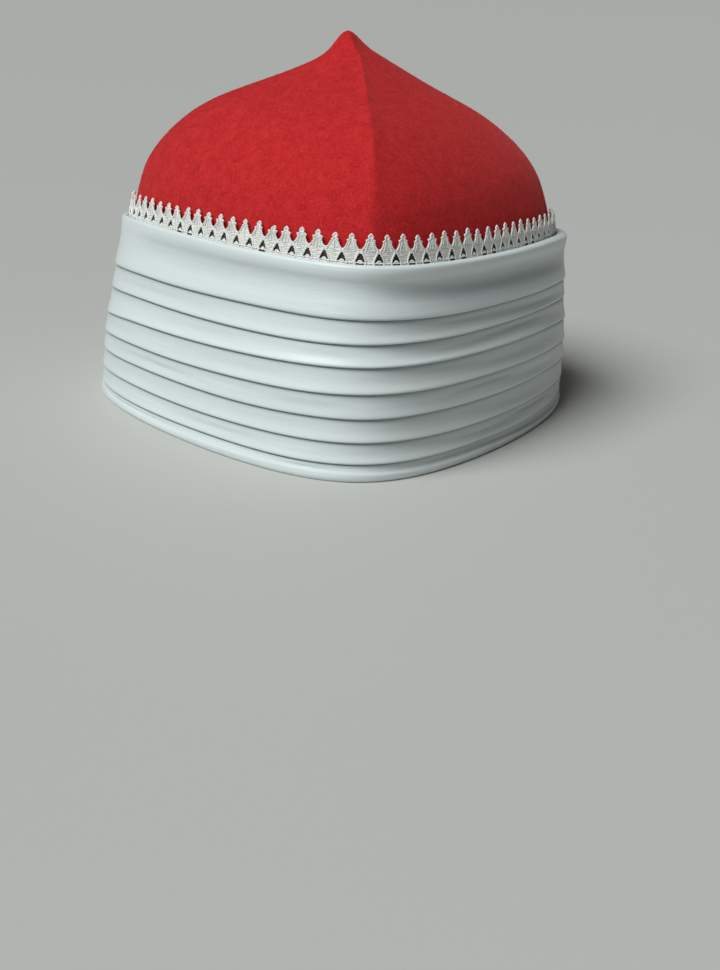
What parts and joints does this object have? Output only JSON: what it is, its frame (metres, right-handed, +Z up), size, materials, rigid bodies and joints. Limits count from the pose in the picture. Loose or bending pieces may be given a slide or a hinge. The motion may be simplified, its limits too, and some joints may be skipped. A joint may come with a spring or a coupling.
{
  "type": "turban",
  "caption": "Ready-wound turban: a red felt cap with a small point, wrapped by a white band of lapped pleats and edged with a row of lace leaves.",
  "frame": {"origin": "middle of the rim's oval, on the plane that the rim stands on", "axes": "+Z up to the point of the cap, -Y to the front nose and crease, +X to the wearer's left"},
  "size_m": [0.2073, 0.219, 0.1568],
  "materials": {
    "red_felt": "brushed wool felt, matt, with a short nap",
    "white_satin": "close-woven cloth with a soft satin sheen",
    "cotton_lace": "matt cotton thread, worked close"
  },
  "bodies": {
    "root": {"felt_cap": "red_felt", "pleated_band": "white_satin", "picot_trim": "cotton_lace"}
  },
  "joints": []
}
